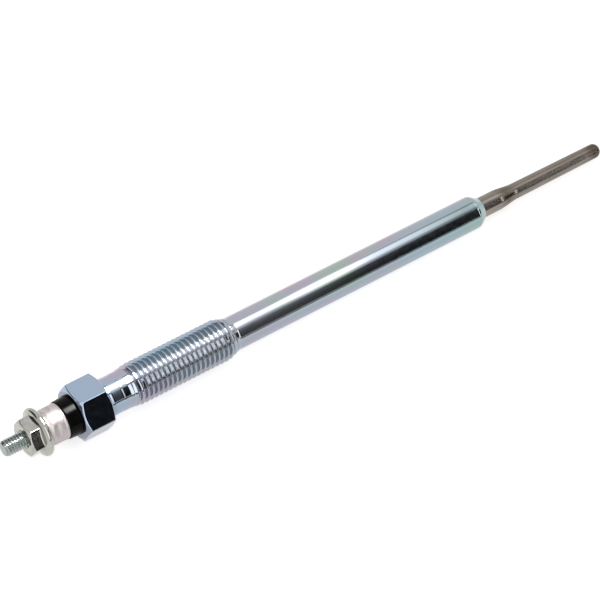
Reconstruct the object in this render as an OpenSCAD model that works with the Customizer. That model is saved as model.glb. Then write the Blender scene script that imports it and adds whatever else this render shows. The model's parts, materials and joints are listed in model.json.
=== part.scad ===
// Diesel glow plug with a long barrel and a slender two-diameter metal sheath.
// Millimetres. +X runs along the axis from the terminal stud to the heater's tip, +Z is up
// from one flat of the hexagon, and the origin is on the axis at the wide end of the seat.

/* [Barrel and seat] */
// Diameter of the long plain barrel
barrel_d = 8; // [7.4:0.1:9]
// Length of the plain barrel, from the thread's lead to the seat
barrel_length = 68.5; // [45:0.5:100]
// Included angle of the seat cone in degrees
seat_angle = 63; // [50:1:90]
// Diameter of the nose at the small end of the seat cone
nose_d = 5.5; // [5.3:0.05:6.4]

/* [Thread and neck] */
// Crest diameter of the shank's M10 thread
thread_d = 9.92; // [9.6:0.01:10.6]
// Length of thread at full diameter
thread_length = 22.9; // [12:0.1:34]
// Length of the tapered lead between the thread and the barrel
thread_lead = 3.2; // [1:0.1:6]
// Length over which the thread runs out into the neck
thread_runout = 3.2; // [1:0.1:6]
// Diameter of the plain neck beside the hexagon
neck_d = 9; // [8.4:0.05:9.5]
// Length of the plain neck
neck_length = 5.3; // [2:0.1:12]

/* [Hexagon] */
// Size across the flats of the hexagon
hex_af = 12; // [11:0.1:14]
// Length of the hexagon between its end faces
hex_length = 7.5; // [6:0.1:12]
// Diameter of the round end faces left by the chamfers
hex_face_d = 11.4; // [10.6:0.05:12]
// Angle of the hexagon's chamfers from its end faces in degrees
hex_chamfer = 30; // [15:1:45]

/* [Bore] */
// Diameter of the passage round the centre rod
passage_d = 5.4; // [5.2:0.05:5.8]
// Diameter of the pocket for the bush and its seal
pocket_d = 6.4; // [6:0.05:7]
// Depth of that pocket from the hexagon's face
pocket_depth = 8; // [7:0.1:12]
// Chamfer at the pocket's mouth
pocket_chamfer = 0.4; // [0.1:0.05:0.7]

/* [Terminal rod] */
// Crest diameter of the M4 terminal thread
stud_d = 3.9; // [3.7:0.01:4.2]
// Length of stud that stands out of the flange nut
stud_exposed = 5.15; // [3:0.05:12]
// Chamfer on the end of the stud
stud_chamfer = 0.5; // [0.2:0.05:0.8]
// Diameter of the rod inside the housing
rod_d = 3.5; // [3:0.05:3.6]
// Diameter of the rod's front length inside the sheath
rod_front_d = 2.2; // [1.9:0.05:2.6]
// How far that front length reaches past the seat
rod_front_reach = 4.5; // [2:0.1:6]
// Diameter of the pin on the rod's end that carries the coil
rod_pin_d = 1.2; // [1:0.02:1.3]
// Length of that pin
rod_pin_length = 4; // [2:0.1:6]

/* [Flange nut] */
// Size across the nut's flats
nut_af = 8; // [7:0.1:9]
// Height of the nut from its flange's seat to its outer face
nut_height = 4.65; // [4.2:0.05:6]
// Diameter of the nut's round outer face
nut_face_d = 7.6; // [6.8:0.05:8]
// Angle of the nut's chamfer from its outer face in degrees
nut_chamfer = 30; // [15:1:45]
// Depth of the countersink in the nut's outer face
nut_sink = 0.35; // [0.1:0.05:0.6]
// Diameter of the flange
flange_d = 11.5; // [10.6:0.1:13]
// Thickness of the flange at its rim
flange_rim = 1.6; // [1:0.05:2]
// Slope of the flange's cone from its seat in degrees
flange_slope = 18; // [10:1:25]
// Turn of the nut against the housing's hexagon in degrees
nut_turn = 3; // [0:1:59]

/* [Ring nut] */
// Diameter of the ring nut
ring_d = 8.5; // [8:0.05:9]
// Length of the ring nut
ring_length = 4.85; // [3.5:0.05:7]
// Diameter of the lip at the bush
ring_lip_d = 8.75; // [8.55:0.05:9.2]
// Length of that lip
ring_lip = 0.7; // [0.4:0.05:1.1]
// Drop of the relief next to the flange nut
ring_relief = 0.2; // [0.1:0.02:0.4]
// Length of that relief, and of the slope that ends it
ring_relief_length = 0.7; // [0.3:0.05:1]
// Depth of the crimp dents
crimp_depth = 0.3; // [0.1:0.02:0.4]
// Radius of the crimping punch
crimp_punch_r = 1.7; // [1:0.1:2.4]
// Number of crimp dents
crimp_count = 4; // [2:1:6]
// Turn of the first dent from +Z towards +Y in degrees
crimp_turn = 24; // [0:1:89]

/* [Insulator bush] */
// Diameter of the bush's collar at the ring nut
bush_d = 8.95; // [8.5:0.05:9.4]
// Diameter of the bush's collar at the hexagon
bush_base_d = 9.4; // [9:0.05:10.2]
// Length of the collar
bush_length = 3.05; // [2:0.05:5]
// Length of the bush's spigot inside the housing
bush_spigot = 5.5; // [3:0.1:6]

/* [Sheath] */
// Diameter of the sheath's wide end
sheath_d = 5; // [4.8:0.02:5.1]
// Length of sheath gripped inside the barrel
sheath_grip = 24; // [12:0.5:36]
// Wide length that shows past the seat
sheath_wide = 7.5; // [6.5:0.1:12]
// Length of the taper between the two diameters
sheath_taper = 4.2; // [2:0.1:8]
// Diameter of the slim length where it starts
slim_d = 3.9; // [3.8:0.02:4.2]
// Diameter of the slim length at the tip
slim_tip_d = 3.56; // [3.5:0.02:3.8]
// Length of the slim end, tip included
slim_length = 26.4; // [22:0.1:34]
// Radius of the rounded tip
tip_round = 1.6; // [0.6:0.05:1.7]
// Wall of the sheath
sheath_wall = 0.6; // [0.5:0.02:0.65]
// Thickness of the closed tip
tip_wall = 1; // [0.8:0.05:1.6]

/* [Coils and seals] */
// Diameter of the coils' wire
wire_d = 0.3; // [0.24:0.01:0.34]
// Pitch of the heating coil
heating_pitch = 0.55; // [0.5:0.01:0.8]
// Turns of the heating coil
heating_turns = 22; // [12:1:26]
// Pitch of the control coil
control_pitch = 0.9; // [0.6:0.02:1.2]
// Length of the rubber plug in the sheath's open end
sheath_seal_length = 2.5; // [1.5:0.1:5]

/* [Fits] */
// Radial clearance of sheath, bush, nuts and seals in their seats
fit_clearance = 0.02; // [0.01:0.005:0.04]
// Radial clearance between the coils and the pin or powder beside them
coil_clearance = 0.05; // [0.04:0.005:0.07]

/* [Hidden] */
$fn = 96;

// Places along the axis, from the seat back to the end of the stud
x_lead = -barrel_length;
x_thread_end = x_lead - thread_lead;
x_thread_start = x_thread_end - thread_length;
x_neck_end = x_thread_start - thread_runout;
x_hex_neck = x_neck_end - neck_length;
x_hex_face = x_hex_neck - hex_length;
x_bush = x_hex_face - bush_length;
x_ring = x_bush - ring_length;
x_nut = x_ring - nut_height;
x_stud = x_nut - stud_exposed;

// Places along the axis, from the seat forward to the tip
x_nose = (barrel_d - nose_d) / 2 / tan(seat_angle / 2);
x_taper = sheath_wide;
x_slim = x_taper + sheath_taper;
x_tip = x_slim + slim_length;
x_tip_inside = x_tip - tip_wall;

// Places inside the housing and the sheath
x_pocket = x_hex_face + pocket_depth;
x_spigot = x_hex_face + bush_spigot;
x_grip = -sheath_grip;
x_seal_front = x_grip + sheath_seal_length;
x_pin = rod_front_reach;
x_pin_end = x_pin + rod_pin_length;

// Coil sizes: both coils are wound on the rod's pin
coil_r = rod_pin_d / 2 + coil_clearance + wire_d / 2;
coil_outside_r = coil_r + wire_d / 2;
x_heating_end = x_tip_inside - wire_d / 2 - fit_clearance;
x_coil_joint = x_heating_end - heating_turns * heating_pitch;
control_turns = floor((x_coil_joint - x_pin - wire_d) / control_pitch);
// Turn that leaves the two coils' wire ends a clearance apart, in degrees
joint_turn = coil_clearance / coil_r * 180 / PI;
coil_steps = 12;
wire_sides = 6;

// Allowance by which a cutting shape passes the face it cuts
cut = 0.5;
// Steps in a rounded edge
arc_steps = 8;

// Points [x, r] on an arc round a centre, from angle a0 to a1
function arc(x, r, radius, a0, a1) =
    [for (i = [0:arc_steps]) let (a = a0 + (a1 - a0) * i / arc_steps)
        [x + radius * cos(a), r + radius * sin(a)]];

// Solid turned about the X axis from an outline of [x, r] points
module turned(outline) {
    ends = [outline[len(outline) - 1][0], outline[0][0]];
    rotate([0, 90, 0])
        rotate_extrude()
            polygon([for (p = outline) [p[1], p[0]], for (x = ends) [0, x]]);
}

// Ring turned about the X axis, its outline a closed loop of [x, r] points
module turned_ring(outline) {
    rotate([0, 90, 0])
        rotate_extrude()
            polygon([for (p = outline) [p[1], p[0]]]);
}

// Plain round bar along the X axis
module bar(x0, x1, d) {
    translate([x0, 0, 0])
        rotate([0, 90, 0])
            cylinder(h = x1 - x0, d = d);
}

// Hexagonal prism along the X axis with one flat facing down
module hex_prism(x0, x1, af) {
    translate([x0, 0, 0])
        rotate([0, 90, 0])
            rotate([0, 0, 30])
                cylinder(h = x1 - x0, d = af / cos(30), $fn = 6);
}

// Hexagon along the X axis with conical chamfers that leave round end faces
module chamfered_hex(x0, x1, af, face_d, angle) {
    past_corner_r = af / cos(30) / 2 + cut;
    drop = (past_corner_r - face_d / 2) * tan(angle);
    intersection() {
        hex_prism(x0 - cut, x1 + cut, af);
        turned([[x0, face_d / 2], [x0 + drop, past_corner_r],
                [x1 - drop, past_corner_r], [x1, face_d / 2]]);
    }
}

// Zinc plated shell: hexagon, neck, thread, barrel and seat, bored from end to end
module housing() {
    x_hex_middle = (x_hex_face + x_hex_neck) / 2;
    color("lightsteelblue")
        difference() {
            union() {
                chamfered_hex(x_hex_face, x_hex_neck, hex_af, hex_face_d, hex_chamfer);
                turned([[x_hex_middle, neck_d / 2], [x_neck_end, neck_d / 2],
                        [x_thread_start, thread_d / 2], [x_thread_end, thread_d / 2],
                        [x_lead, barrel_d / 2], [0, barrel_d / 2], [x_nose, nose_d / 2]]);
            }
            turned([[x_hex_face - cut, pocket_d / 2 + pocket_chamfer + cut],
                    [x_hex_face + pocket_chamfer, pocket_d / 2], [x_pocket, pocket_d / 2],
                    [x_pocket, passage_d / 2], [x_grip, passage_d / 2],
                    [x_grip, sheath_d / 2 + fit_clearance],
                    [x_nose + cut, sheath_d / 2 + fit_clearance]]);
        }
}

// Centre rod: threaded stud, body, front length and the pin that carries the coil
module terminal_rod() {
    color("darkseagreen")
        turned([[x_stud, stud_d / 2 - stud_chamfer], [x_stud + stud_chamfer, stud_d / 2],
                [x_hex_face, stud_d / 2], [x_hex_face, rod_d / 2], [x_grip, rod_d / 2],
                [x_grip, rod_front_d / 2], [x_pin, rod_front_d / 2], [x_pin, rod_pin_d / 2],
                [x_pin_end, rod_pin_d / 2]]);
}

// Hexagon nut with a round-rimmed conical flange, its seat against the ring nut
module flange_nut() {
    bore_r = stud_d / 2 + fit_clearance;
    rim_r = flange_rim / 2;
    x_rim = x_ring - rim_r;
    cone_foot = [x_rim - rim_r * cos(flange_slope), flange_d / 2 - rim_r + rim_r * sin(flange_slope)];
    cone_top = [cone_foot[0] - (cone_foot[1] - stud_d / 2) * tan(flange_slope), stud_d / 2];
    color("silver")
        difference() {
            union() {
                rotate([nut_turn, 0, 0])
                    chamfered_hex(x_nut, x_rim, nut_af, nut_face_d, nut_chamfer);
                turned(concat([cone_top],
                              arc(x_rim, flange_d / 2 - rim_r, rim_r, 180 - flange_slope, 0)));
            }
            turned([[x_nut - cut, bore_r + nut_sink + cut], [x_nut + nut_sink, bore_r],
                    [x_ring + cut, bore_r]]);
        }
}

// Round collar nut with a relief at the flange nut, a lip at the bush and crimp dents
module ring_nut() {
    x_lip = x_bush - ring_lip;
    x_crimp = (x_ring + x_lip) / 2;
    lip_round = ring_lip / 2;
    lip_start = 120;
    relief_r = ring_d / 2 - ring_relief;
    color("gainsboro")
        difference() {
            turned(concat([[x_ring, relief_r], [x_ring + ring_relief_length, relief_r],
                           [x_ring + 2 * ring_relief_length, ring_d / 2], [x_lip, ring_d / 2]],
                          arc(x_bush - lip_round, ring_lip_d / 2 - lip_round, lip_round, lip_start, 0)));
            for (i = [0:crimp_count - 1])
                rotate([-crimp_turn - 360 / crimp_count * i, 0, 0])
                    translate([x_crimp, 0, ring_d / 2 + crimp_punch_r - crimp_depth])
                        rotate([90, 0, 0])
                            cylinder(h = ring_d, r = crimp_punch_r, center = true);
            bar(x_ring - cut, x_bush + cut, stud_d + 2 * fit_clearance);
        }
}

// Black moulded bush: a collar on the hexagon's face and a spigot in the pocket
module insulator_bush() {
    spigot_r = pocket_d / 2 - fit_clearance;
    color("black")
        difference() {
            turned([[x_bush, bush_d / 2], [x_hex_face, bush_base_d / 2], [x_hex_face, spigot_r],
                    [x_spigot, spigot_r]]);
            bar(x_bush - cut, x_spigot + cut, stud_d + 2 * fit_clearance);
        }
}

// O-ring in the pocket, squeezed between the rod and the housing under the bush
module housing_seal() {
    section_r = (pocket_d - rod_d) / 4 - fit_clearance;
    color("dimgray")
        rotate([0, 90, 0])
            rotate_extrude()
                translate([(pocket_d + rod_d) / 4, x_spigot + fit_clearance + section_r])
                    circle(r = section_r);
}

// Two-diameter metal tube, open inside the barrel and closed at the tip
module sheath_tube() {
    x_round = x_tip - tip_round;
    color("rosybrown")
        difference() {
            turned(concat([[x_grip, sheath_d / 2], [x_taper, sheath_d / 2], [x_slim, slim_d / 2],
                           [x_round, slim_tip_d / 2]],
                          arc(x_round, slim_tip_d / 2 - tip_round, tip_round, 90, 0)));
            turned([[x_grip - cut, sheath_d / 2 - sheath_wall], [x_taper, sheath_d / 2 - sheath_wall],
                    [x_slim, slim_d / 2 - sheath_wall], [x_tip_inside, slim_tip_d / 2 - sheath_wall]]);
        }
}

// Rubber plug that closes the sheath's open end round the rod
module sheath_seal() {
    color("saddlebrown")
        difference() {
            bar(x_grip, x_seal_front, sheath_d - 2 * sheath_wall - 2 * fit_clearance);
            bar(x_grip - cut, x_seal_front + cut, rod_front_d + 2 * fit_clearance);
        }
}

// Packed powder: a sleeve between coils and sheath, and a core inside the coils
module magnesia_fill() {
    gap = sheath_wall + fit_clearance;
    coil_bore_r = coil_outside_r + coil_clearance;
    x_step = x_pin + fit_clearance;
    x_end = x_tip_inside - fit_clearance;
    color("ivory") {
        turned_ring([[x_seal_front, sheath_d / 2 - gap], [x_taper, sheath_d / 2 - gap],
                     [x_slim, slim_d / 2 - gap], [x_end, slim_tip_d / 2 - gap], [x_end, coil_bore_r],
                     [x_step, coil_bore_r], [x_step, rod_front_d / 2 + fit_clearance],
                     [x_seal_front, rod_front_d / 2 + fit_clearance]]);
        bar(x_pin_end + fit_clearance, x_end, rod_pin_d);
    }
}

// Ring of wire_sides points round the wire, where the helix has turned by angle a
function wire_ring(x, a, pitch) =
    let (out = [0, cos(a), sin(a)],
         along = [pitch / 360, -coil_r * PI / 180 * sin(a), coil_r * PI / 180 * cos(a)],
         side = cross(along, out) / norm(along),
         centre = [x + pitch * a / 360, 0, 0] + coil_r * out)
    [for (k = [0:wire_sides - 1]) let (t = 360 * k / wire_sides)
        centre + wire_d / 2 * (cos(t) * out + sin(t) * side)];

// Round wire wound about the X axis from x, a right-handed helix of whole turns
module coil(x, turns, pitch) {
    last = turns * coil_steps;
    m = wire_sides;
    points = [for (i = [0:last]) each wire_ring(x, 360 * i / coil_steps, pitch)];
    walls = [for (i = [0:last - 1], k = [0:m - 1])
        let (p = i * m + k, q = i * m + (k + 1) % m)
        each [[p, p + m, q + m], [p, q + m, q]]];
    start_cap = [for (k = [0:m - 1]) k];
    end_cap = [for (k = [0:m - 1]) last * m + m - 1 - k];
    polyhedron(points, concat(walls, [start_cap, end_cap]));
}

// Rear coil, its first turns round the rod's pin
module control_coil() {
    color("goldenrod")
        coil(x_coil_joint - control_turns * control_pitch, control_turns, control_pitch);
}

// Front coil, end to end with the rear one and its last turn against the closed tip
module heating_coil() {
    color("orangered")
        rotate([joint_turn, 0, 0])
            coil(x_coil_joint, heating_turns, heating_pitch);
}

housing();
terminal_rod();
flange_nut();
ring_nut();
insulator_bush();
housing_seal();
sheath_tube();
sheath_seal();
magnesia_fill();
control_coil();
heating_coil();
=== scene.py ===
"""Looks of the diesel glow plug: detailed meshes, finishes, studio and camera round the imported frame."""
import json
import math

import bmesh
import bpy
import numpy as np
from mathutils import Matrix, Vector


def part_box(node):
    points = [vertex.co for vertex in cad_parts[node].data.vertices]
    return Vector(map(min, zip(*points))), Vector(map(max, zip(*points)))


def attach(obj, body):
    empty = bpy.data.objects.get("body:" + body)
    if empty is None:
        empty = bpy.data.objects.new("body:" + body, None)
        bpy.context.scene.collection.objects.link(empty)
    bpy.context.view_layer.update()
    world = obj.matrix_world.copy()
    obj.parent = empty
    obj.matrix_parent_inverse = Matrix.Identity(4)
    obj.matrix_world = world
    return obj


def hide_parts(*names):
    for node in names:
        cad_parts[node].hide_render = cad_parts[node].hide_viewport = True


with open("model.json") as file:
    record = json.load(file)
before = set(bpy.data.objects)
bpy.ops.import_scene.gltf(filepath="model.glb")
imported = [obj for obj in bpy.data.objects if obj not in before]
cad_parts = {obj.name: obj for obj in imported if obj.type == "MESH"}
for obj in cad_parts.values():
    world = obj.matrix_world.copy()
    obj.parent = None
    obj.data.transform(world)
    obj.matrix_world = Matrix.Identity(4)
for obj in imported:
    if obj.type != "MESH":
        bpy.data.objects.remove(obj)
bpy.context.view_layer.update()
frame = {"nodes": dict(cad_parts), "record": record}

# Units: sizes below are millimetres and degrees, meshes are metres
MM = 0.001
TURN = 2 * math.pi


# Places read from the frame
def span(node):
    """First and last place of a node along the plug's axis."""
    low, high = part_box(node)
    return low.x / MM, high.x / MM


def radius_of(node):
    """Largest reach of a node across the axis."""
    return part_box(node)[1].y / MM


mounts = {mount["name"]: mount for mount in frame["record"]["mounts"]}
stud_end = span("terminal_rod")[0]
pin_end = span("terminal_rod")[1]
nut_face, nut_seat = span("flange_nut")
ring_face, ring_seat = span("ring_nut")
bush_face, spigot_end = span("insulator_bush")
hex_face, nose_end = span("housing")
sheath_open, sheath_tip = span("sheath_tube")

barrel_r = mounts["barrel"]["dims"]["r_mm"]
barrel_start = -mounts["barrel"]["dims"]["length_mm"]
thread_r = mounts["shank_thread"]["dims"]["r_mm"]
thread_half = mounts["shank_thread"]["dims"]["length_mm"] / 2
thread_middle = mounts["shank_thread"]["pos_m"][0] / MM
thread_start = thread_middle - thread_half
thread_end = thread_middle + thread_half
hex_half = -mounts["hex_flat"]["pos_m"][2] / MM
hex_end = 2 * mounts["hex_flat"]["pos_m"][0] / MM - hex_face

# Housing
hex_face_r = 5.7
hex_corner_round = 0.32
chamfer_rise = math.tan(math.radians(30))
neck_r = 4.5
neck_end = thread_start - 3.2
groove_start = neck_end + 0.8
groove_fade = 1.0
thread_root_r = 4.18
thread_pitch = 1.25
thread_turn = math.radians(-94)
nose_r = 2.75
sheath_bore_r = 2.52
passage_r = 2.7
pocket_r = 3.2
pocket_end = hex_face + 8
pocket_chamfer = 0.4
neck_rows = 36
neck_inset = 0.25
helix_lead = 1.3
helix_trail = 2.9
helix_fades = (1.45, 2.6)

# Terminal rod
stud_r = 1.95
stud_root_r = 1.62
stud_pitch = 0.7
stud_chamfer = 0.5
rod_r = 1.75
rod_front_r = 1.1
rod_pin_r = 0.6
rod_pin_start = pin_end - 4

# Flange nut and ring nut
nut_half = 4.0
nut_face_r = 3.8
nut_corner_round = 0.25
nut_turn = math.radians(-3)
nut_sink = 0.35
flange_r = radius_of("flange_nut")
flange_rim = 1.6
flange_slope = math.radians(18)
clear_bore_r = 1.97
ring_r = 4.25
ring_relief = 0.2
ring_relief_length = 0.7
ring_lip_r = radius_of("ring_nut")
ring_lip = 0.7
crimp_depth = 0.3
crimp_punch_r = 1.7
crimp_count = 4
crimp_turn = math.radians(24)

# Insulator bush and sheath
bush_face_r = 4.475
bush_base_r = radius_of("insulator_bush")
spigot_r = 3.18
sheath_r = radius_of("sheath_tube")
sheath_wall = 0.6
taper_start = 7.5
taper_end = 11.7
slim_r = 1.95
slim_tip_r = 1.78
tip_round = 1.6
tip_wall = 1.0
tip_support = 0.1


# Turned meshes: columns of each round piece, and the edges that stay sharp
STUD_COLUMNS = 84
RING_COLUMNS = 160
BUSH_COLUMNS = 120
SHEATH_COLUMNS = 96
SHARP_ANGLE = math.radians(38)

# Corner curves: steps along a curve, its largest share of a side, and how far out its supporting rings lie
EASE = (0.0, 0.25, 0.5, 0.75, 1.0)
LARGEST_SHARE = 0.42
SUPPORT = 1.15

# Thread profile in shares of the pitch: crest, root, and a corner's rows from its flat to its flank
CREST_SHARE = 0.14
ROOT_SHARE = 0.14
CORNER_ROWS = (-0.025, -0.018, 0.0, 0.018, 0.03)


def thread_phases():
    """Places of the rows in one pitch: from the root up to the crest, and mirrored back down."""
    root_corner = [ROOT_SHARE / 2 + row for row in CORNER_ROWS]
    crest_corner = [0.5 - CREST_SHARE / 2 - row for row in reversed(CORNER_ROWS)]
    rise = root_corner + crest_corner
    return np.array([0.0, *rise, 0.5, *(1 - phase for phase in reversed(rise))])


THREAD_PHASES = thread_phases()


def ring(x, r, columns):
    """One ring of an outline: place along the axis and radius at every column."""
    pair = np.empty((columns, 2))
    pair[:, 0] = x
    pair[:, 1] = r
    return pair


def eased(rings, cuts):
    """Outline with a short curve in place of each corner that has a cut, which limits the curve's length.

    A supporting ring on either side of the curve keeps the shading of the straight runs straight.
    """
    out = []
    for i, (corner, cut) in enumerate(zip(rings, cuts)):
        if cut == 0:
            out.append(corner)
            continue
        sides = (rings[i - 1] - corner, rings[(i + 1) % len(rings)] - corner)
        shares = [np.minimum(cut / np.linalg.norm(s, axis=1), LARGEST_SHARE)[:, None] for s in sides]
        first, last = (corner + side * share for side, share in zip(sides, shares))
        out.append(corner + sides[0] * shares[0] * SUPPORT)
        for t in EASE:
            out.append((1 - t) ** 2 * first + 2 * t * (1 - t) * corner + t ** 2 * last)
        out.append(corner + sides[1] * shares[1] * SUPPORT)
    return out


def even_columns(count):
    """Angles from +Z towards +Y, evenly spaced."""
    return np.arange(count) * TURN / count


def hex_columns(half, corner_round, turn=0.0):
    """Angles with most columns at a rounded hexagon's corners, and its radius at each of them."""
    corner_columns = 8
    flat_columns = 11
    to_round = (half - corner_round) / math.cos(math.pi / 6)
    reach = math.atan2(corner_round / 2, to_round + corner_round * math.cos(math.pi / 6))
    corner = np.linspace(-reach, reach, corner_columns)
    flat = np.linspace(reach, TURN / 6 - reach, flat_columns + 2)[1:-1]
    beside = to_round * np.sin(corner)
    corner_r = to_round * np.cos(corner) + np.sqrt(corner_round ** 2 - beside ** 2)
    angles, radii = [], []
    for side in range(6):
        middle = (side + 0.5) * TURN / 6 + turn
        angles.extend(middle + corner)
        radii.extend(corner_r)
        angles.extend(middle + flat)
        radii.extend(half / np.cos(flat - TURN / 12))
    return np.array(angles), np.array(radii)


def thread_height(x, angles, pitch):
    """Height of a right-handed thread from 0 at its root to 1 at its crest, with rounded corners."""
    corner = 0.05
    phase = np.mod(x / pitch + angles / TURN, 1.0)
    from_crest = np.abs(phase - 0.5) * 2
    height = (1 - ROOT_SHARE - from_crest) / (1 - ROOT_SHARE - CREST_SHARE)
    above_root = np.maximum(height, 0) + np.maximum(corner - np.abs(height), 0) ** 2 / corner / 4
    below_crest = 1 - above_root
    return 1 - np.maximum(below_crest, 0) - np.maximum(corner - np.abs(below_crest), 0) ** 2 / corner / 4


def thread_rings(x0, x1, angles, pitch, radius_at):
    """Rings of a thread from x0 to x1. radius_at gives the radius from a place and the thread's height."""
    rows_a_pitch = 14
    steps = math.ceil((x1 - x0) / pitch * rows_a_pitch)
    places = np.linspace(x0, x1, steps + 1)
    return [ring(x, radius_at(x, thread_height(x, angles, pitch)), len(angles)) for x in places]


def helical_rings(x0, x1, angles, pitch, fades, radius_at):
    """Rings of a thread from x0 to x1 that follow its helix, apart from the fades at its ends.

    Each ring runs back by one pitch in its turn, so the seam has to join it to the ring one pitch before.
    """
    turn = (angles - angles[0]) / TURN
    first = math.floor(x0 / pitch)
    turns = np.arange(first, first + math.ceil((x1 - x0) / pitch) + 2)
    places = ((turns[:, None] + THREAD_PHASES).ravel() - angles[0] / TURN) * pitch
    places = places[(places > x0) & (places < x1)]
    rings = []
    for place in (x0, *places, x1):
        share = min(1.0, (place - x0) / fades[0], (x1 - place) / fades[1])
        x = place - pitch * turn * share
        rings.append(ring(x, radius_at(x, thread_height(x, angles, pitch)), len(angles)))
    return rings


def seam_faces(last, first, helix):
    """Faces between the last and the first column, which join a helix's rows one pitch apart."""
    start, end, pitch_rows = helix

    def partner(row):
        return max(start, row - pitch_rows) if start < row <= end else row

    faces = []
    for row in range(len(last) - 1):
        near, far = partner(row), partner(row + 1)
        if near < row == end:
            faces.extend([last[row], first[step], first[step + 1]] for step in range(near, end))
            near = end
        if near == far:
            faces.append([last[row], first[near], last[row + 1]])
        else:
            faces.append([last[row], first[near], first[far], last[row + 1]])
    return faces


def turned_mesh(name, angles, rings, closed, helix=(0, 0, 0)):
    """Mesh turned about the X axis. A closed outline is a ring, an open one has flat caps at its ends.

    A helix is given by its first row, its last row and its rows to a pitch.
    """
    outline = np.array(rings)
    rows, columns = outline.shape[:2]
    radius = outline[..., 1]
    points = np.stack([outline[..., 0], radius * np.sin(angles), radius * np.cos(angles)], axis=-1)
    index = np.arange(rows * columns).reshape(rows, columns)
    if closed:
        index = np.vstack([index, index[:1]])
    near, far = index[:-1], index[1:]
    quads = np.stack([near[:, :-1], near[:, 1:], far[:, 1:], far[:, :-1]], axis=-1)
    faces = quads.reshape(-1, 4).tolist()
    faces.extend(seam_faces(index[:, -1].tolist(), index[:, 0].tolist(), helix))
    if not closed:
        faces.append(index[0].tolist())
        faces.append(index[-1].tolist())
    mesh = bpy.data.meshes.new(name)
    mesh.from_pydata((points.reshape(-1, 3) * MM).tolist(), [], faces)
    work = bmesh.new()
    work.from_mesh(mesh)
    bmesh.ops.recalc_face_normals(work, faces=work.faces)
    work.to_mesh(mesh)
    work.free()
    mesh.shade_smooth()
    mesh.set_sharp_from_angle(angle=SHARP_ANGLE)
    piece = bpy.data.objects.new(name, mesh)
    bpy.context.scene.collection.objects.link(piece)
    return piece


def place_piece(piece, node, material):
    """Puts a piece in its node's stead."""
    piece.data.materials.append(material)
    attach(piece, "root")
    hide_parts(node)


# Pieces
def neck_radius(x):
    """Radius of the neck, with a relief beside the hexagon and the faint steps that turning left."""
    places = (0.4, 1.05, 1.2, 3.35, 3.5, 3.95)
    drops = (0.08, 0.0, 0.0, 0.055, 0.055, 0.0)
    return neck_r - np.interp(x - hex_end, places, drops)


def make_housing():
    """Shell with its helical thread. Each corner of an outline is its place, its radius and its cut."""
    angles, hex_r = hex_columns(hex_half, hex_corner_round)
    columns = len(angles)
    chamfer = (hex_r - hex_face_r) * chamfer_rise
    outline = [
        (hex_face, pocket_r + pocket_chamfer, 0.08),
        (hex_face, hex_face_r, 0.12),
        (hex_face + chamfer, hex_r, 0.22),
        (hex_end - chamfer, hex_r, 0.22),
        (hex_end, hex_face_r, 0.12),
        (hex_end, neck_radius(hex_end), 0.1),
    ]
    helix_start = neck_end - helix_lead
    helix_end = barrel_start + helix_trail
    for x in np.linspace(hex_end + neck_inset, helix_start, neck_rows):
        outline.append((x, neck_radius(x), 0))
    root_drop = thread_r - thread_root_r

    def radius_at(x, height):
        runout = np.clip((x - neck_end) / (thread_start - neck_end), 0, 1)
        crest = neck_radius(x) + (thread_r - neck_r) * runout
        lead = np.clip((x - thread_end) / (barrel_start - thread_end), 0, 1)
        cone = thread_r + (barrel_r - thread_r) * lead
        groove = np.minimum(thread_root_r + root_drop * height, crest)
        share = np.clip((x - groove_start) / groove_fade, 0, 1)
        return np.minimum(crest + (groove - crest) * share, cone)

    thread = helical_rings(helix_start, helix_end, angles + thread_turn, thread_pitch, helix_fades, radius_at)
    front = [
        (0, barrel_r, 0.5),
        (nose_end, nose_r, 0.12),
        (nose_end, sheath_bore_r, 0.03),
        (sheath_open, sheath_bore_r, 0),
        (sheath_open, passage_r, 0),
        (pocket_end, passage_r, 0),
        (pocket_end, pocket_r, 0),
        (hex_face + pocket_chamfer, pocket_r, 0.05),
    ]
    before = [ring(x, r, columns) for x, r, _ in outline]
    after = [ring(x, r, columns) for x, r, _ in front]
    inner_thread = thread[1:]
    cuts = [cut for *_, cut in outline] + [0] * len(inner_thread) + [cut for *_, cut in front]
    first_row = len(outline) - 1 + sum(len(EASE) + 1 for *_, cut in outline if cut)
    helix = (first_row, first_row + len(inner_thread), len(THREAD_PHASES))
    rings = eased(before + inner_thread + after, cuts)
    return turned_mesh("housing_turned", angles, rings, closed=True, helix=helix)


def make_terminal_rod():
    """Centre rod, threaded where it is the terminal stud."""
    angles = even_columns(STUD_COLUMNS)
    columns = len(angles)
    root_drop = stud_r - stud_root_r

    def radius_at(x, height):
        cone = stud_r - stud_chamfer + (x - stud_end)
        return np.minimum(stud_r - root_drop * (1 - height), cone)

    rings = thread_rings(stud_end, ring_seat, angles, stud_pitch, radius_at)
    for x, r in [
        (ring_seat, stud_r), (hex_face, stud_r), (hex_face, rod_r), (sheath_open, rod_r),
        (sheath_open, rod_front_r), (rod_pin_start, rod_front_r), (rod_pin_start, rod_pin_r),
        (pin_end, rod_pin_r),
    ]:
        rings.append(ring(x, r, columns))
    return turned_mesh("terminal_rod_threaded", angles, rings, closed=False)


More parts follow.
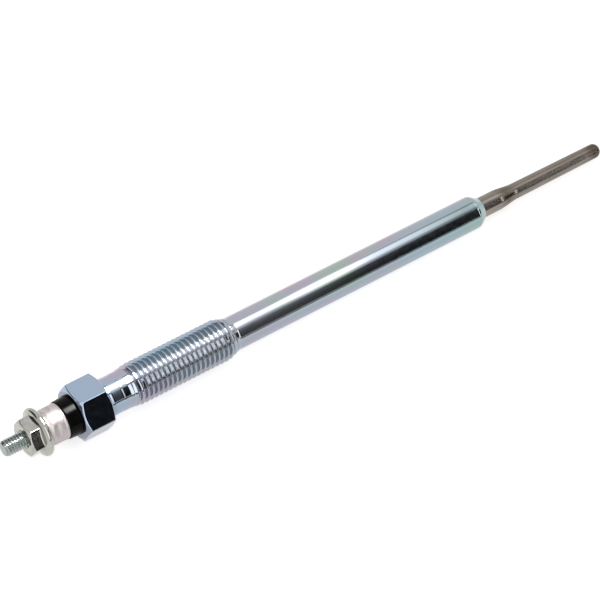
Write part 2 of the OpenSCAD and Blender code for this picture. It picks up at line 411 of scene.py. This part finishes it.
def make_flange_nut():
    """Hexagon nut with a conical flange and a rounded rim."""
    angles, hex_r = hex_columns(nut_half, nut_corner_round, nut_turn)
    columns = len(angles)
    rim_r = flange_rim / 2
    rim_x = nut_seat - rim_r
    foot_x = rim_x - rim_r * math.cos(flange_slope)
    foot_r = flange_r - rim_r + rim_r * math.sin(flange_slope)
    cone_x = foot_x - (foot_r - hex_r) * math.tan(flange_slope)
    chamfer = (hex_r - nut_face_r) * chamfer_rise
    outline = [
        (nut_face + nut_sink, clear_bore_r, 0.04),
        (nut_face, clear_bore_r + nut_sink, 0.08),
        (nut_face, nut_face_r, 0.12),
        (nut_face + chamfer, hex_r, 0.15),
        (cone_x, hex_r, 0.2),
        (foot_x, foot_r, 0),
    ]
    rim_angles = np.linspace(math.pi - flange_slope, 0, 9)[1:-1]
    for a in rim_angles:
        outline.append((rim_x + rim_r * math.cos(a), flange_r - rim_r + rim_r * math.sin(a), 0))
    outline.append((nut_seat, flange_r - rim_r, 0))
    outline.append((nut_seat, clear_bore_r, 0))
    rings = [ring(x, r, columns) for x, r, _ in outline]
    cuts = [cut for *_, cut in outline]
    return turned_mesh("flange_nut_eased", angles, eased(rings, cuts), closed=True)


def make_ring_nut():
    """Collar with a relief, a rounded lip and the dents of its crimping."""
    angles = even_columns(RING_COLUMNS)
    columns = len(angles)
    lip_x = ring_seat - ring_lip
    lip_round = ring_lip / 2
    crimp_x = (ring_face + lip_x) / 2
    relief_r = ring_r - ring_relief
    relief_end = ring_face + 2 * ring_relief_length
    half_step = math.pi / crimp_count
    from_dent = np.mod(angles - crimp_turn + half_step, 2 * half_step) - half_step

    def dented(x, r):
        reach = crimp_punch_r ** 2 - (x - crimp_x) ** 2
        if reach <= 0:
            return r
        floor_r = ring_r + crimp_punch_r - crimp_depth - math.sqrt(reach)
        return np.minimum(r, floor_r / np.cos(from_dent))

    slope_places = np.linspace(ring_face + ring_relief_length, relief_end, 6)
    wall_places = np.linspace(relief_end, lip_x, 36)[1:]
    outline = [(ring_face, relief_r)]
    for x in slope_places:
        share = (x - slope_places[0]) / ring_relief_length
        outline.append((x, dented(x, relief_r + ring_relief * share)))
    for x in wall_places:
        outline.append((x, dented(x, ring_r)))
    for a in np.linspace(math.radians(120), 0, 9):
        lip_place = ring_seat - lip_round + lip_round * math.cos(a)
        outline.append((lip_place, ring_lip_r - lip_round + lip_round * math.sin(a)))
    outline.append((ring_seat, clear_bore_r))
    outline.append((ring_face, clear_bore_r))
    rings = [ring(x, r, columns) for x, r in outline]
    cuts = [0.08] + [0] * (len(rings) - 1)
    return turned_mesh("ring_nut_crimped", angles, eased(rings, cuts), closed=True)


def make_bush():
    """Conical bush, with the spigot that sits in the housing."""
    angles = even_columns(BUSH_COLUMNS)
    columns = len(angles)
    outline = [
        (bush_face, clear_bore_r, 0),
        (bush_face, bush_face_r, 0.22),
        (hex_face, bush_base_r, 0.12),
        (hex_face, spigot_r, 0),
        (spigot_end, spigot_r, 0.2),
        (spigot_end, clear_bore_r, 0),
    ]
    rings = [ring(x, r, columns) for x, r, _ in outline]
    cuts = [cut for *_, cut in outline]
    return turned_mesh("insulator_bush_moulded", angles, eased(rings, cuts), closed=True)


def make_sheath():
    """Tube that is swaged to its slim end and closed at the tip."""
    angles = even_columns(SHEATH_COLUMNS)
    columns = len(angles)
    round_x = sheath_tip - tip_round
    cap_angle = math.radians(6)
    outline = [
        (sheath_tip - tip_wall, slim_tip_r - sheath_wall, 0),
        (taper_end, slim_r - sheath_wall, 0),
        (taper_start, sheath_r - sheath_wall, 0),
        (sheath_open, sheath_r - sheath_wall, 0),
        (sheath_open, sheath_r, 0.1),
        (taper_start, sheath_r, 0.7),
        (taper_end, slim_r, 0.7),
        (round_x - tip_support, slim_tip_r, 0),
        (round_x, slim_tip_r, 0),
    ]
    for a in np.linspace(math.pi / 2, cap_angle, 12)[1:]:
        cap_r = slim_tip_r - tip_round + tip_round * math.sin(a)
        outline.append((round_x + tip_round * math.cos(a), cap_r, 0))
    outline.append((sheath_tip, slim_tip_r - tip_round, 0))
    rings = [ring(x, r, columns) for x, r, _ in outline]
    cuts = [cut for *_, cut in outline]
    return turned_mesh("sheath_tube_swaged", angles, eased(rings, cuts), closed=False)


# Finishes
class Finish:
    """A node material with a Principled shader, and short calls that add nodes to it."""

    def __init__(self, name, **sockets):
        self.material = bpy.data.materials.new(name)
        self.material.use_nodes = True
        self.tree = self.material.node_tree
        self.shader = self.tree.nodes["Principled BSDF"]
        for socket, value in sockets.items():
            self.shader.inputs[socket.replace("_", " ")].default_value = value
        coordinates = self.node("ShaderNodeTexCoord")
        self.place = coordinates.outputs["Object"]
        self.facing = coordinates.outputs["Normal"]

    def node(self, kind, **settings):
        made = self.tree.nodes.new(kind)
        for key, value in settings.items():
            setattr(made, key, value)
        return made

    def link(self, source, socket):
        self.tree.links.new(source, socket)

    def feed(self, source, shader_socket):
        self.link(source, self.shader.inputs[shader_socket])

    def math(self, operation, *values):
        made = self.node("ShaderNodeMath", operation=operation)
        for socket, value in zip(made.inputs, values):
            if isinstance(value, (int, float)):
                socket.default_value = value
            else:
                self.link(value, socket)
        return made.outputs[0]

    def axes(self, vector):
        """Parts of a vector along X, Y and Z."""
        made = self.node("ShaderNodeSeparateXYZ")
        self.link(vector, made.inputs[0])
        return made.outputs

    def stretched(self, scale):
        """The place, scaled by axis."""
        made = self.node("ShaderNodeVectorMath", operation="MULTIPLY")
        self.link(self.place, made.inputs[0])
        made.inputs[1].default_value = scale
        return made.outputs[0]

    def noise(self, vector, scale, detail=3.0):
        made = self.node("ShaderNodeTexNoise")
        self.link(vector, made.inputs["Vector"])
        made.inputs["Scale"].default_value = scale
        made.inputs["Detail"].default_value = detail
        return made.outputs["Fac"]

    def ramp(self, value, stops, interpolation="LINEAR"):
        made = self.node("ShaderNodeValToRGB")
        made.color_ramp.interpolation = interpolation
        elements = made.color_ramp.elements
        while len(elements) < len(stops):
            elements.new(0.5)
        for element, (position, colour) in zip(elements, stops):
            element.position = position
            element.color = (*colour, 1)
        self.link(value, made.inputs["Fac"])
        return made.outputs["Color"]

    def remap(self, value, low, high, to_low, to_high):
        made = self.node("ShaderNodeMapRange")
        self.link(value, made.inputs["Value"])
        for socket, number in zip(("From Min", "From Max", "To Min", "To Max"), (low, high, to_low, to_high)):
            made.inputs[socket].default_value = number
        return made.outputs["Result"]

    def mixed(self, share, first, second, blend="MIX"):
        made = self.node("ShaderNodeMix", data_type="RGBA", blend_type=blend)
        for socket, value in (("Factor_Float", share), ("A_Color", first), ("B_Color", second)):
            target = next(i for i in made.inputs if i.identifier == socket)
            if isinstance(value, (int, float)):
                target.default_value = value
            elif isinstance(value, tuple):
                target.default_value = (*value, 1)
            else:
                self.link(value, target)
        return next(o for o in made.outputs if o.identifier == "Result_Color")

    def bump(self, height, strength, distance):
        made = self.node("ShaderNodeBump")
        made.inputs["Strength"].default_value = strength
        made.inputs["Distance"].default_value = distance
        self.link(height, made.inputs["Height"])
        self.feed(made.outputs["Normal"], "Normal")


def zinc_finish():
    """Bright zinc plate: a bluish tone, lilac and green patches of film, a painted sheen that lays the lilac
    by the way the surface faces, and painted shade on the lower faces and, along the thread, on the faces
    turned back.
    """
    made = Finish("zinc_plate_finish", Metallic=1.0)
    x = made.axes(made.place)[0]
    along = made.remap(x, hex_face * MM, nose_end * MM, 0.0, 1.0)
    tone = made.ramp(along, [
        (0.0, (0.34, 0.42, 0.55)),
        (0.07, (0.35, 0.43, 0.54)),
        (0.14, (0.4, 0.42, 0.47)),
        (0.33, (0.4, 0.42, 0.45)),
        (0.4, (0.4, 0.41, 0.47)),
        (0.7, (0.38, 0.42, 0.48)),
        (1.0, (0.34, 0.43, 0.46)),
    ])
    # Painted sheen: on top of its real patches, the lilac film is laid heaviest where the surface faces 50
    # degrees from straight up towards the back, or the opposite way.
    film_sheen_turn = math.radians(50)
    _, y, z = made.axes(made.facing)
    turn = made.math("ARCTAN2", y, z)
    band = made.math("COSINE", made.math("MULTIPLY", made.math("SUBTRACT", turn, film_sheen_turn), 2.0))
    cloud = made.noise(made.stretched((0.5, 1.0, 1.0)), 150.0, 2.0)
    lilac = made.remap(made.math("ADD", band, made.math("MULTIPLY", cloud, 4.0)), 1.6, 3.2, 0.0, 0.8)
    green = made.remap(made.noise(made.stretched((0.6, 1.0, 1.0)), 110.0, 1.0), 0.53, 0.68, 0.0, 0.75)
    reach = made.remap(along, 0.05, 0.1, 0.0, 1.0)
    colour = made.mixed(made.math("MULTIPLY", lilac, reach), tone, (0.45, 0.36, 0.43))
    filmed = made.mixed(made.math("MULTIPLY", green, reach), colour, (0.36, 0.44, 0.38))
    # Painted shade: faces turned more than about 65 degrees from straight up are darkened, warmer on the
    # hexagon and cooler along the rest.
    painted_under_shade = made.ramp(along, [
        (0.0, (0.74, 0.62, 0.58)),
        (0.066, (0.74, 0.62, 0.58)),
        (0.08, (0.8, 0.84, 0.86)),
        (1.0, (0.74, 0.87, 0.86)),
    ])
    # Painted shade: along the thread, faces turned towards the back are darkened to teal.
    over = made.ramp(along, [
        (0.12, (1.0, 1.0, 1.0)),
        (0.15, (0.72, 0.94, 1.0)),
        (0.34, (0.72, 0.94, 1.0)),
        (0.38, (1.0, 1.0, 1.0)),
    ])
    under_shade_share = made.remap(made.math("COSINE", turn), 0.45, 0.2, 0.0, 1.0)
    back_shade_share = made.remap(made.math("SINE", turn), -0.25, 0.2, 0.0, 1.0)
    below = made.mixed(under_shade_share, filmed, painted_under_shade, "MULTIPLY")
    made.feed(made.mixed(back_shade_share, below, over, "MULTIPLY"), "Base Color")
    haze = made.noise(made.place, 900.0, 4.0)
    made.feed(made.remap(haze, 0.3, 0.7, 0.07, 0.12), "Roughness")
    grain = made.noise(made.stretched((1.0, 0.6, 0.6)), 1400.0, 3.0)
    made.bump(grain, 0.12, 0.00002)
    return made.material


def plain_plate_finish(name, dark, light, rough):
    """Satin plate with a mottled tone between two colours."""
    made = Finish(name, Metallic=1.0)
    mottle = made.noise(made.place, 700.0, 4.0)
    made.feed(made.ramp(mottle, [(0.3, dark), (0.7, light)]), "Base Color")
    made.feed(made.remap(made.noise(made.place, 1800.0, 3.0), 0.3, 0.7, *rough), "Roughness")
    made.bump(made.noise(made.place, 2600.0, 3.0), 0.15, 0.00002)
    return made.material


def bush_finish():
    """Glossy black moulding with a faint brown cast and a slight orange peel."""
    made = Finish("black_bush_finish", Specular_IOR_Level=0.06)
    tone = made.noise(made.place, 500.0, 3.0)
    blacks = [(0.35, (0.002, 0.0015, 0.0015)), (0.65, (0.004, 0.003, 0.003))]
    made.feed(made.ramp(tone, blacks), "Base Color")
    made.feed(made.remap(tone, 0.3, 0.7, 0.15, 0.22), "Roughness")
    made.bump(made.noise(made.place, 900.0, 2.0), 0.08, 0.00003)
    return made.material


def sheath_finish():
    """Satin heat-resisting alloy, brownish grey along its length, with painted shade over the taper, and dark
    where the tip has glowed.
    """
    made = Finish("sheath_alloy_finish", Metallic=1.0)
    x = made.axes(made.place)[0]
    along = made.math("DIVIDE", x, sheath_tip * MM)
    wander = made.math("MULTIPLY", made.math("SUBTRACT", made.noise(made.place, 260.0, 3.0), 0.5), 0.05)
    # Painted shade: the taper, about a quarter of the way to the tip, is darkened; the dark at the tip is its
    # heat stain.
    tone_and_taper_shade = made.ramp(made.math("ADD", along, wander), [
        (0.0, (0.25, 0.225, 0.2)),
        (0.17, (0.25, 0.225, 0.2)),
        (0.24, (0.15, 0.13, 0.11)),
        (0.36, (0.225, 0.2, 0.175)),
        (0.88, (0.21, 0.185, 0.16)),
        (0.93, (0.11, 0.085, 0.07)),
        (1.0, (0.09, 0.075, 0.065)),
    ])
    streak = made.noise(made.stretched((0.12, 1.0, 1.0)), 1500.0, 3.0)
    shade = made.ramp(streak, [(0.3, (0.82, 0.81, 0.8)), (0.7, (1.1, 1.1, 1.1))])
    made.feed(made.mixed(1.0, tone_and_taper_shade, shade, "MULTIPLY"), "Base Color")
    made.feed(made.remap(streak, 0.3, 0.7, 0.15, 0.2), "Roughness")
    made.bump(made.noise(made.stretched((1.0, 0.4, 0.4)), 2200.0, 3.0), 0.04, 0.00002)
    return made.material


def powder_finish():
    """Packed white powder with a fine grain."""
    made = Finish("magnesia_finish", Roughness=0.9)
    grain = made.noise(made.place, 6000.0, 4.0)
    made.feed(made.ramp(grain, [(0.3, (0.62, 0.6, 0.55)), (0.7, (0.78, 0.76, 0.71))]), "Base Color")
    made.bump(grain, 0.4, 0.00004)
    return made.material


def rubber_finish():
    """Matt black rubber with a soft bloom."""
    made = Finish("seal_rubber_finish", Specular_IOR_Level=0.3)
    bloom = made.noise(made.place, 1200.0, 3.0)
    made.feed(made.ramp(bloom, [(0.3, (0.018, 0.018, 0.018)), (0.7, (0.035, 0.034, 0.033))]), "Base Color")
    made.feed(made.remap(bloom, 0.3, 0.7, 0.5, 0.7), "Roughness")
    return made.material


def dress(node, material):
    """Gives a CAD node that stays its finish."""
    slots = frame["nodes"][node].data.materials
    slots.clear()
    slots.append(material)


place_piece(make_housing(), "housing", zinc_finish())
place_piece(
    make_terminal_rod(), "terminal_rod",
    plain_plate_finish("rod_steel_finish", (0.27, 0.3, 0.295), (0.38, 0.42, 0.41), (0.21, 0.31)))
place_piece(
    make_flange_nut(), "flange_nut",
    plain_plate_finish("nut_plate_finish", (0.36, 0.36, 0.33), (0.45, 0.44, 0.41), (0.12, 0.2)))
place_piece(
    make_ring_nut(), "ring_nut",
    plain_plate_finish("ring_metal_finish", (0.42, 0.385, 0.38), (0.51, 0.465, 0.46), (0.4, 0.5)))
place_piece(make_bush(), "insulator_bush", bush_finish())
place_piece(make_sheath(), "sheath_tube", sheath_finish())
rubber = rubber_finish()
wire = plain_plate_finish("coil_wire_finish", (0.2, 0.18, 0.16), (0.32, 0.29, 0.25), (0.3, 0.45))
dress("housing_seal", rubber)
dress("sheath_seal", rubber)
dress("magnesia_fill", powder_finish())
dress("control_coil", wire)
dress("heating_coil", wire)


# Studio: metres, and degrees of rise from the floor at the front
FLOOR_SIZE = 12.0
NEAR_R = 0.15
FAR_R = 3.0
CURB_R = 0.045
BACK_R = 0.1
STRIP_R = 0.12
EVEN_RISE = ((0, 1.0), (180, 1.0))


def stage_mesh(name, points, faces, material):
    """A mesh that belongs to the studio and not to the plug."""
    mesh = bpy.data.meshes.new(name)
    mesh.from_pydata(points, [], faces)
    mesh.shade_smooth()
    mesh.materials.append(material)
    made = bpy.data.objects.new(name, mesh)
    bpy.context.scene.collection.objects.link(made)
    return made


def background_ray(made):
    """1 for the rays that see the background as it looks: camera, glossy and transmission rays."""
    path = made.node("ShaderNodeLightPath")
    seen = made.math("MAXIMUM", path.outputs["Is Camera Ray"], path.outputs["Is Glossy Ray"])
    return made.math("MAXIMUM", seen, path.outputs["Is Transmission Ray"])


def floor_finish():
    """White paper: it takes the shadow, and adds enough white of its own to meet the background."""
    own_white = 0.74
    made = Finish("floor_paper", Roughness=1.0, Specular_IOR_Level=0.0)
    made.shader.inputs["Emission Color"].default_value = (1, 1, 1, 1)
    fibre = made.noise(made.place, 40.0, 3.0)
    made.feed(made.ramp(fibre, [(0.3, (0.79, 0.79, 0.79)), (0.7, (0.81, 0.81, 0.81))]), "Base Color")
    made.feed(made.math("MULTIPLY", background_ray(made), own_white), "Emission Strength")
    return made.material


def make_floor():
    """Plane that the plug lies on: it touches the hexagon's lower flat and the end of the barrel."""
    contact_x = hex_end - (hex_half - hex_face_r) * chamfer_rise
    tilt = math.atan2(hex_half - barrel_r, -contact_x)
    half = FLOOR_SIZE / 2
    corners = [(-half, -half, 0), (half, -half, 0), (half, half, 0), (-half, half, 0)]
    floor = stage_mesh("floor", corners, [(0, 1, 2, 3)], floor_finish())
    floor.matrix_world = Matrix.Translation((0, 0, -barrel_r * MM)) @ Matrix.Rotation(-tilt, 4, "Y")


def card_finish(name, stops, along, level):
    """Graduated card: stops give its light by degrees of rise, and along by the place on the plug's axis."""
    made = Finish(name, Roughness=1.0, Specular_IOR_Level=0.0)
    made.shader.inputs["Base Color"].default_value = (0, 0, 0, 1)
    x, y, z = made.axes(made.place)
    rise = made.math("MULTIPLY", made.math("ARCTAN2", z, made.math("MULTIPLY", y, -1.0)), 2 / TURN)
    by_rise = made.ramp(rise, [(degrees / 180, (light,) * 3) for degrees, light in stops])
    first, last = along[0][0], along[-1][0]
    by_x = made.ramp(made.remap(x, first, last, 0.0, 1.0), [
        ((place - first) / (last - first), (light,) * 3) for place, light in along])
    made.feed(made.mixed(1.0, by_rise, by_x, "MULTIPLY"), "Emission Color")
    made.shader.inputs["Emission Strength"].default_value = level
    return made.material


def make_card(name, radius, rise, level, along, stops=EVEN_RISE):
    """Part of a cylinder round the plug's axis, between two rises, that only the gloss of the plug shows."""
    steps = 60
    ends = (along[0][0], along[-1][0])
    turns = [math.radians(a) for a in np.linspace(*rise, steps + 1)]
    points = [(x, -radius * math.cos(a), radius * math.sin(a)) for a in turns for x in ends]
    faces = [(2 * i, 2 * i + 1, 2 * i + 3, 2 * i + 2) for i in range(steps)]
    card = stage_mesh(name, points, faces, card_finish(f"{name}_cloth", stops, along, level))
    card.visible_camera = False
    card.visible_diffuse = False
    card.visible_transmission = False
    card.visible_shadow = False


def make_softbox():
    """Overhead softbox: brightest in the middle, soft towards the front, crisp at the back."""
    stops = [(56, 0.2), (60, 0.26), (70, 0.52), (80, 0.92), (86, 1.0), (103, 0.95), (104, 0.38)]
    along = [
        (-0.16, 0.3), (-0.068, 0.35), (-0.06, 0.42), (-0.048, 0.8), (-0.008, 0.8),
        (0.003, 0.62), (0.014, 0.75), (0.02, 1.0), (0.031, 1.0), (0.042, 0.54),
        (0.06, 0.41), (0.079, 0.22), (0.085, 0.45), (0.1, 0.38), (0.14, 0.35)]
    make_card("softbox", NEAR_R, (56, 112), 4.0, along, stops)


def make_flag():
    """Dark flag at the front, which gives the bright metal its dark band."""
    stops = [(0, 0.19), (25, 0.19), (38, 0.32), (50, 0.52), (58, 0.95)]
    along = [
        (0.42, 0.05), (1.03, 0.06), (1.185, 0.1), (1.235, 1.0), (1.43, 0.4),
        (1.5, 0.05), (1.63, 0.02), (1.7, 0.2), (2.0, 0.2)]
    make_card("flag", FAR_R, (-0.5, 58), 0.75, along, stops)


def make_windows():
    """Bright windows to the right and the left of the flag."""
    make_card("right_window", FAR_R, (3, 60), 5.0, [(2.06, 1.0), (2.3, 1.0)])
    make_card("left_window", FAR_R, (-0.5, 60), 2.2, [(-1.6, 1.0), (0.3, 1.0)])


def make_dark_ends():
    """Dark cards past the right window and behind the terminal, which draw the edges that face the ends."""
    make_card("right_flag", FAR_R, (-0.5, 45), 0.05, [(2.3, 1.0), (6.5, 1.0)])
    make_card("back_flag", BACK_R, (128, 183), 0.06, [(-0.3, 1.0), (-0.15, 1.0)])


def make_strip():
    """Small strip light over the black bush."""
    stops = [(66, 0.0), (78, 1.0), (90, 1.0), (102, 0.0)]
    along = [(-0.094, 0.0), (-0.088, 1.0), (-0.083, 1.0), (-0.078, 0.0)]
    make_card("strip", STRIP_R, (66, 102), 100.0, along, stops)


def make_curb():
    """Low dark bar on the floor in front of the plug, which carries the flag's dark below the horizon."""
    along = [
        (-0.14, 0.05), (-0.08, 0.1), (-0.05, 0.12), (0.0, 0.03), (0.012, 0.05), (0.03, 0.15), (0.08, 0.15)]
    make_card("curb", CURB_R, (-7.5, 0.5), 1.0, along)


def make_world():
    """White background, with a softer level for the light that it casts on matt surfaces."""
    cast_level = 0.4
    world = bpy.data.worlds.new("studio")
    bpy.context.scene.world = world
    world.use_nodes = True
    world.cycles.sampling_method = "NONE"
    tree = world.node_tree
    sky = tree.nodes["Background"]
    sky.inputs["Color"].default_value = (1, 1, 1, 1)
    path = tree.nodes.new("ShaderNodeLightPath")
    level = cast_level
    for output in ("Is Camera Ray", "Is Glossy Ray", "Is Transmission Ray"):
        seen = tree.nodes.new("ShaderNodeMath")
        seen.operation = "MAXIMUM"
        tree.links.new(path.outputs[output], seen.inputs[0])
        if isinstance(level, float):
            seen.inputs[1].default_value = level
        else:
            tree.links.new(level, seen.inputs[1])
        level = seen.outputs[0]
    tree.links.new(level, sky.inputs["Strength"])


def make_lamp(name, place, size, power):
    """Soft overhead lamp, aimed at the middle of the plug. The softbox stands for it in the gloss."""
    lamp = bpy.data.lights.new(name, "AREA")
    lamp.shape = "RECTANGLE"
    lamp.size, lamp.size_y = size
    lamp.energy = power
    made = bpy.data.objects.new(name, lamp)
    bpy.context.scene.collection.objects.link(made)
    made.location = place
    aim = Vector((stud_end / 2 * MM, 0, 0))
    made.rotation_euler = (aim - made.location).to_track_quat("-Z", "Y").to_euler()
    made.visible_glossy = False
    made.visible_camera = False


def make_camera():
    """The photograph's view, fitted to the plug's stations in the 600 by 600 frame."""
    lens = bpy.data.cameras.new("camera")
    lens.sensor_width = 36.0
    lens.lens = 181.48
    camera = bpy.data.objects.new("camera", lens)
    bpy.context.scene.collection.objects.link(camera)
    camera.location = Vector((-338.14, -396.29, 473.96)) * MM
    aim = Vector((-49.53, -0.07, -0.09)) * MM
    camera.rotation_euler = (aim - camera.location).to_track_quat("-Z", "Y").to_euler()
    bpy.context.scene.camera = camera


make_floor()
make_softbox()
make_flag()
make_windows()
make_dark_ends()
make_strip()
make_curb()
make_world()
make_lamp("overhead_lamp", (-0.05, -0.1, 0.9), (1.2, 0.8), 2.0)
make_camera()
bpy.context.scene.view_settings.view_transform = "Standard"

bpy.context.view_layer.update()
